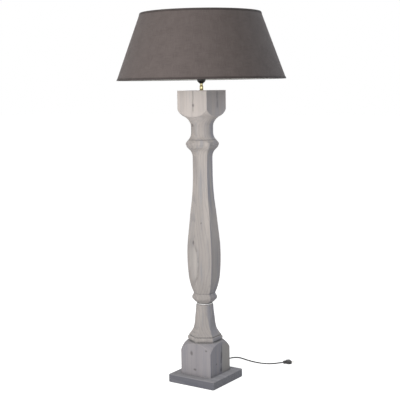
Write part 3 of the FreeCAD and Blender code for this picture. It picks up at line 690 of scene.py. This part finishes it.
materials = {
    "column_wood": column_wood(),
    "plinth_wood": plinth_wood(),
    "dowel_wood": dowel_wood(),
    "felt": wool_felt(),
    "zinc_steel": metal("zinc_steel", *ZINC, rough=0.34, brush=UNBRUSHED, dull=ZINC_DULL),
    "brass": metal("brass", *BRASS, rough=0.22, brush=BRUSHED, dull=BRASS_DULL),
    "black_holder": plastic("black_holder", *HOLDER_BLACK, rough=0.34, grain_depth=0.00003),
    "ceramic": plastic("ceramic", *CERAMIC, rough=0.30, grain_depth=0.00004),
    "nickel": metal("nickel", *NICKEL, rough=0.18, brush=BRUSHED, dull=NICKEL_DULL),
    "bulb_glass": frosted_glass(),
    "shade_fabric": cloth("shade_fabric", TAUPE, TAUPE_SHADOW, sheen=0.12),
    "shade_hem": cloth("shade_hem", HEM_TAUPE, HEM_SHADOW, sheen=0.08),
    "shade_liner": liner_white(),
    "white_wire": plastic("white_wire", *WIRE_WHITE, rough=0.35, grain_depth=0.00006),
    "black_plastic": plastic("black_plastic", *SWITCH_BLACK, rough=0.38, grain_depth=0.00008),
    "strap": strap_weave(),
    "cord": cord_sheath(),
}


def dress_frame():
    """Gives every carried-over piece the material of its slot."""
    for part in frame["record"]["subparts"]:
        piece = frame["nodes"][part["node"]]
        piece.data.materials.clear()
        piece.data.materials.append(materials[part["material_slot"]])


# ---- new pieces ----
def new_piece(name, verts, faces, slot, body="stand"):
    """A mesh piece in the row frame, with its slot's material, riding on a body."""
    mesh = bpy.data.meshes.new(name)
    mesh.from_pydata(verts, [], faces)
    mesh.update()
    mesh.shade_smooth()
    mesh.materials.append(materials[slot])
    piece = bpy.data.objects.new(name, mesh)
    bpy.context.collection.objects.link(piece)
    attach(piece, body)
    return piece


def lathe(profile, segments, reverse=False):
    """Turns a (radius, height) profile about Z; returns its vertices and faces.

    Where the profile runs upwards the faces look outward, and reverse turns them all over.
    """
    verts = []
    for count in range(segments):
        angle = 2 * math.pi * count / segments
        for radius, height in profile:
            verts.append((radius * math.cos(angle), radius * math.sin(angle), height))
    faces = []
    rows = len(profile)
    for count in range(segments):
        this = count * rows
        following = (count + 1) % segments * rows
        for row in range(rows - 1):
            faces.append((this + row, following + row, following + row + 1, this + row + 1))
    if reverse:
        faces = [tuple(reversed(face)) for face in faces]
    return verts, faces


def cone_radius(height):
    """The shade's outer radius at a height."""
    share = (height - SHADE_BOTTOM) / (SHADE_TOP - SHADE_BOTTOM)
    return SHADE_BOTTOM_RADIUS + (SHADE_TOP_RADIUS - SHADE_BOTTOM_RADIUS) * share


def map_in_metres(piece):
    """A map for the cloth: metres round the cone and metres up its slant."""
    layer = piece.data.uv_layers.new(name="cloth")
    middle = (SHADE_BOTTOM_RADIUS + SHADE_TOP_RADIUS) / 2
    rise = SHADE_SLANT / (SHADE_TOP - SHADE_BOTTOM)
    for polygon in piece.data.polygons:
        corners = []
        for index in polygon.loop_indices:
            x, y, z = piece.data.vertices[piece.data.loops[index].vertex_index].co
            corners.append((index, math.atan2(-x, -y), z))
        angles = [angle for _, angle, _ in corners]
        wraps = max(angles) - min(angles) > math.pi
        for index, angle, z in corners:
            if wraps and angle < 0:
                angle += 2 * math.pi
            layer.data[index].uv = (angle * middle, (z - SHADE_BOTTOM) * rise)


def shade_cloth():
    """The stretched cover, the seam at its back and the hems rolled round its two rims."""
    around = 360
    rows = 40
    rim = 0.0008
    low = SHADE_BOTTOM + rim
    high = SHADE_TOP - rim
    twist = 3
    least_swell = 0.00003
    most_swell = 0.00009
    ripple = random.Random(7)
    waves = []
    for _ in range(6):
        count = ripple.randint(2, 9)
        phase = ripple.uniform(0, 6.3)
        waves.append((count, phase, ripple.uniform(least_swell, most_swell)))
    verts = []
    for column in range(around):
        angle = 2 * math.pi * column / around
        for row in range(rows):
            share = row / (rows - 1)
            height = low + (high - low) * share
            slack = math.sin(math.pi * share)
            swell = 0
            for count, phase, size in waves:
                swell += size * math.sin(count * angle + phase + twist * share)
            radius = cone_radius(height) - COVER_INSET + swell * slack
            verts.append((radius * math.cos(angle), radius * math.sin(angle), height))
    faces = []
    for column in range(around):
        this = column * rows
        following = (column + 1) % around * rows
        for row in range(rows - 1):
            faces.append((this + row, following + row, following + row + 1, this + row + 1))
    cover = new_piece("cover_cloth", verts, faces, "shade_fabric", "shade")
    map_in_metres(cover)
    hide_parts("shade_cover")

    hems = [rolled_hem("hem_roll_bottom", True), rolled_hem("hem_roll_top", False)]
    seam = cover_seam()


def rolled_hem(name, at_bottom):
    """A strip of the same cloth, glued outside, turned round the rim's wire and in again."""
    edge = SHADE_BOTTOM if at_bottom else SHADE_TOP
    inward = 1 if at_bottom else -1
    glue = 0.00002
    cut_edge = 0.0005
    profile = []
    # up or down the outside of the cover, from the cut edge to the rim
    outside_steps = 6
    fold = 0.0016
    for step in range(outside_steps + 1):
        height = edge + inward * (HEM_HEIGHT - (HEM_HEIGHT - fold) * step / outside_steps)
        tucked = cut_edge if step == 0 else 0.0
        profile.append((cone_radius(height) - glue - tucked, height))
    # over the rim
    fold_steps = 8
    for step in range(1, fold_steps):
        angle = math.pi / 2 * step / fold_steps
        inset = fold * (1 - math.cos(angle))
        lift = fold * (1 - math.sin(angle))
        profile.append((cone_radius(edge) - inset, edge + inward * lift))
    # round the wire
    wire_depth = 0.0082
    rim = 0.0004
    roll = 0.0026
    roll_steps = 9
    climb = 0.0009
    for step in range(1, roll_steps):
        angle = math.pi * step / roll_steps
        inset = wire_depth - roll + roll * math.cos(angle)
        lift = roll - roll * math.sin(angle)
        climbed = climb * max(step - roll_steps // 2, 0)
        profile.append((cone_radius(edge) - inset - rim, edge + inward * (lift + climbed)))
    # and back against the lining
    inside_steps = 4
    inside_start = 0.006
    inside_pitch = 0.0025
    inside_depth = 0.0040
    inside_flare = 0.0036
    for step in range(1, inside_steps + 1):
        height = edge + inward * (inside_start + inside_pitch * step)
        flare = inside_flare * (1 - step / inside_steps) ** 2
        profile.append((cone_radius(height) - inside_depth - flare, height))
    verts, faces = lathe(profile, segments=360, reverse=at_bottom)
    hem = new_piece(name, verts, faces, "shade_hem", "shade")
    map_in_metres(hem)
    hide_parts("hem_bottom" if at_bottom else "hem_top")
    return hem


def cover_seam():
    """The overlap of the cover's two ends, straight up its back."""
    wide = 0.012
    gap = 0.0004
    low = SHADE_BOTTOM + HEM_HEIGHT + gap
    high = SHADE_TOP - HEM_HEIGHT - gap
    rows = 60
    # share of the width, and how far the cloth stands off the cover
    edge, shoulder, full = 0.00005, 0.00045, 0.0005
    across = [(-0.5, edge), (-0.47, shoulder), (-0.3, full), (0.0, full)]
    across += [(0.3, full), (0.47, shoulder), (0.5, edge)]
    waver = 0.0002
    waver_pace = 0.9
    verts = []
    for row in range(rows):
        height = low + (high - low) * row / (rows - 1)
        radius = cone_radius(height) - COVER_INSET
        shift = waver * math.sin(row * waver_pace)
        for side, lift in across:
            angle = math.pi / 2 + (side * wide + shift) / radius
            verts.append(((radius + lift) * math.cos(angle), (radius + lift) * math.sin(angle), height))
    columns = len(across)
    faces = []
    for row in range(rows - 1):
        for column in range(columns - 1):
            first = row * columns + column
            faces.append((first + 1, first, first + columns, first + columns + 1))
    seam = new_piece("cover_overlap", verts, faces, "shade_fabric", "shade")
    map_in_metres(seam)
    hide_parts("cover_seam")
    return seam


def felt_pads():
    """Soft-edged felt discs, each pressed a little uneven."""
    scatter = random.Random(3)
    centre_hole = 0.0006
    most_fuzz = 0.012
    for count in range(1, 5):
        low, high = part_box(f"felt_pad_{count}")
        x = (low[0] + high[0]) / 2
        y = (low[1] + high[1]) / 2
        radius = (high[0] - low[0]) / 2
        thick = high[2] - low[2]
        profile = [
            (centre_hole, 0.0),
            (radius * 0.5, 0.0),
            (radius * 0.93, 0.0),
            (radius * 0.985, thick * 0.12),
            (radius, thick * 0.4),
            (radius * 0.99, thick * 0.75),
            (radius * 0.94, thick),
            (centre_hole, thick),
        ]
        verts, faces = lathe(profile, segments=64, reverse=True)
        moved = []
        for vx, vy, vz in verts:
            fuzz = 1 - scatter.uniform(0, most_fuzz)
            moved.append((x + vx * fuzz, y + vy * fuzz, vz))
        pad = new_piece(f"felt_disc_{count}", moved, faces, "felt")
        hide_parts(f"felt_pad_{count}")


# ---- supply cord ----
def spline_cord(name, route):
    """A smooth cord that has the route's points as its control points."""
    curve = bpy.data.curves.new(name, "CURVE")
    curve.dimensions = "3D"
    curve.bevel_depth = CORD_RADIUS
    curve.bevel_resolution = 6
    curve.resolution_u = 10
    curve.use_fill_caps = True
    spline = curve.splines.new("NURBS")
    spline.points.add(len(route) - 1)
    for point, place in zip(spline.points, route):
        point.co = (*(value * MM for value in place), 1.0)
    spline.order_u = 3
    spline.use_endpoint_u = True
    curve.materials.append(materials["cord"])
    piece = bpy.data.objects.new(name, curve)
    bpy.context.collection.objects.link(piece)
    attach(piece, "stand")
    return piece


def coil_route():
    """The coil's turns in two layers: inwards on the upper one, then outwards on the lower."""
    per_half = 8
    inward = [COIL_WIDTH - COIL_PITCH * step for step in range(COIL_INNER_STEPS + 1)]
    outward = [COIL_WIDTH - COIL_PITCH * step for step in range(COIL_INNER_STEPS - 1, 0, -1)]
    # the control points lie a little outside the half circle that the cord follows
    hug = 1 / math.cos(math.pi / (2 * per_half))
    high = COIL_LOW + COIL_PITCH
    y = COIL_START_Y
    route = []

    def half_turn(centre, width, way, steps, level, fall):
        """Adds the first steps of a half turn, which falls evenly by fall."""
        reach = width / 2 * hug
        for step in range(steps):
            share = (step + 0.5) / per_half
            angle = math.pi * share
            place_x = COIL_X + way * reach * math.sin(angle)
            place_y = centre - way * reach * math.cos(angle)
            route.append((place_x, place_y, level - fall * share))

    for count, width in enumerate(inward + outward):
        way = 1 if count % 2 == 0 else -1
        level = high if count <= COIL_INNER_STEPS else COIL_LOW
        fall = COIL_PITCH if count == COIL_INNER_STEPS else 0.0
        half_turn(y + way * width / 2, width, way, per_half, level, fall)
        y += way * width
    half_turn(y + COIL_WIDTH / 2, COIL_WIDTH, 1, per_half // 2, COIL_LOW, 0.0)
    return route


def strain_relief():
    """The ribbed tapered boot where the cord leaves the plinth's back."""
    bore = 0.0029
    profile = [(bore, 0.0), (0.0056, 0.0), (0.0057, 0.0004), (0.0057, 0.0026), (0.0052, 0.0031)]
    ribs = 6
    first = 0.0036
    pitch = 0.0030
    widest = 0.0051
    taper = 0.0003
    for count in range(ribs):
        outer = widest - taper * count
        base = first + count * pitch
        profile += [
            (outer - 0.0009, base),
            (outer - 0.0001, base + 0.0003),
            (outer, base + 0.0008),
            (outer - 0.00005, base + 0.0016),
            (outer - 0.0009, base + 0.0020),
            (outer - 0.0010, base + 0.0026),
        ]
    profile += [(0.0033, 0.0220), (0.0032, 0.0229), (bore, 0.0230)]
    verts, faces = lathe(profile, segments=48)
    placed = [(x, PLINTH_HALF + z, CORD_EXIT_HEIGHT + y) for x, y, z in verts]
    boot = new_piece("cord_boot", placed, faces, "black_plastic")
    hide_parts("strain_relief")
    return boot


def coil_strap():
    """A woven strap round the coil's left side."""
    low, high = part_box("coil_strap")
    thick = 0.0008
    corner = 0.0035
    selvedge = 0.0004
    steps = 6
    left, right = low[0] + thick / 2, high[0] - thick / 2
    foot, top = low[2] + thick / 2, high[2] - thick / 2
    corners = [(right - corner, foot + corner, -90), (right - corner, top - corner, 0)]
    corners += [(left + corner, top - corner, 90), (left + corner, foot + corner, 180)]
    line = []
    for x, z, turn in corners:
        for step in range(steps + 1):
            angle = math.radians(turn + 90 * step / steps)
            line.append((x + corner * math.cos(angle), z + corner * math.sin(angle)))
    depths = (low[1], low[1] + selvedge, high[1] - selvedge, high[1])
    verts = [(x, y, z) for x, z in line for y in depths]
    rows = len(line)
    columns = len(depths)
    faces = []
    for row in range(rows):
        following = (row + 1) % rows
        for column in range(columns - 1):
            first = row * columns + column
            second = following * columns + column
            faces.append((first, second, second + 1, first + 1))
    strap = new_piece("coil_tie", verts, faces, "strap")
    shell = strap.modifiers.new("thickness", "SOLIDIFY")
    shell.thickness = thick
    shell.offset = 0.0
    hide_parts("coil_strap")
    return strap


def supply_cord():
    """The cord from the plinth to the switch, and from the switch through the coil to the plug."""
    boot = strain_relief()
    lead = spline_cord("lead_cord", LEAD_ROUTE)
    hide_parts("cord_lead")
    main = spline_cord("main_cord", LINK_ROUTE + coil_route() + RUN_ROUTE)
    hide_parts("cord_link", "cord_coil", "cord_run")
    coil_strap()


# ---- studio ----
def seen_directly(tree):
    """1 for the camera, reflections and the view through glass, 0 for the light on the lamp."""
    rays = tree.nodes.new("ShaderNodeLightPath")
    seen = rays.outputs["Is Camera Ray"]
    for kind in ("Is Glossy Ray", "Is Transmission Ray"):
        either = tree.nodes.new("ShaderNodeMath")
        either.operation = "MAXIMUM"
        tree.links.new(seen, either.inputs[0])
        tree.links.new(rays.outputs[kind], either.inputs[1])
        seen = either.outputs[0]
    return seen


def floor():
    """A plain pale floor. The camera sees it white, with the lamp's soft shadow on it."""
    half = 30.0
    glow = 0.78
    corners = [(-half, -half, 0), (half, -half, 0), (half, half, 0), (-half, half, 0)]
    mesh = bpy.data.meshes.new("floor")
    mesh.from_pydata(corners, [], [(0, 1, 2, 3)])
    shader = Shader("floor", Base_Color=(0.80, 0.80, 0.80, 1.0), Roughness=0.9, Specular_IOR_Level=0.0)
    shader.feed("Emission Color", (1.0, 1.0, 1.0))
    shader.feed("Emission Strength", shader.math("MULTIPLY", seen_directly(shader.tree), glow))
    mesh.materials.append(shader.material)
    ground = bpy.data.objects.new("floor", mesh)
    bpy.context.collection.objects.link(ground)


def backdrop():
    """World light: white to the camera, soft and dimmer on the lamp."""
    light_on_lamp = 0.30
    white = 1.0
    world = bpy.data.worlds.new("studio")
    world.use_nodes = True
    tree = world.node_tree
    background = tree.nodes["Background"]
    background.inputs["Color"].default_value = (1.0, 1.0, 1.0, 1.0)
    level = tree.nodes.new("ShaderNodeMapRange")
    level.inputs["To Min"].default_value = light_on_lamp
    level.inputs["To Max"].default_value = white
    tree.links.new(seen_directly(tree), level.inputs["Value"])
    tree.links.new(level.outputs["Result"], background.inputs["Strength"])
    bpy.context.scene.world = world


def area_light(name, place, target, size, power, tone):
    """A round soft light at a place, turned towards a target."""
    data = bpy.data.lights.new(name, "AREA")
    data.shape = "DISK"
    data.size = size
    data.energy = power
    data.color = tone
    lamp = bpy.data.objects.new(name, data)
    bpy.context.collection.objects.link(lamp)
    lamp.location = place
    away = Vector(place) - Vector(target)
    lamp.rotation_euler = away.to_track_quat("Z", "Y").to_euler()


def lights():
    """A large light in front, a weaker one from above and a bluish one behind on the right."""
    area_light(
        "key", place=(0.45, -2.56, 1.35), target=(0, 0, 1.05),
        size=1.3, power=50.0, tone=(1.0, 0.975, 0.95),
    )
    area_light(
        "fill", place=(-0.3, -2.2, 2.6), target=(0, 0, 0.3),
        size=1.4, power=16.0, tone=(1.0, 0.98, 0.96),
    )
    area_light(
        "rim", place=(0.92, 1.31, 1.80), target=(0.1, 0, 1.2),
        size=0.8, power=12.0, tone=(0.88, 0.94, 1.0),
    )


camera()
dress_frame()
shade_cloth()
felt_pads()
supply_cord()
floor()
backdrop()
lights()
bpy.context.scene.view_settings.view_transform = "Standard"
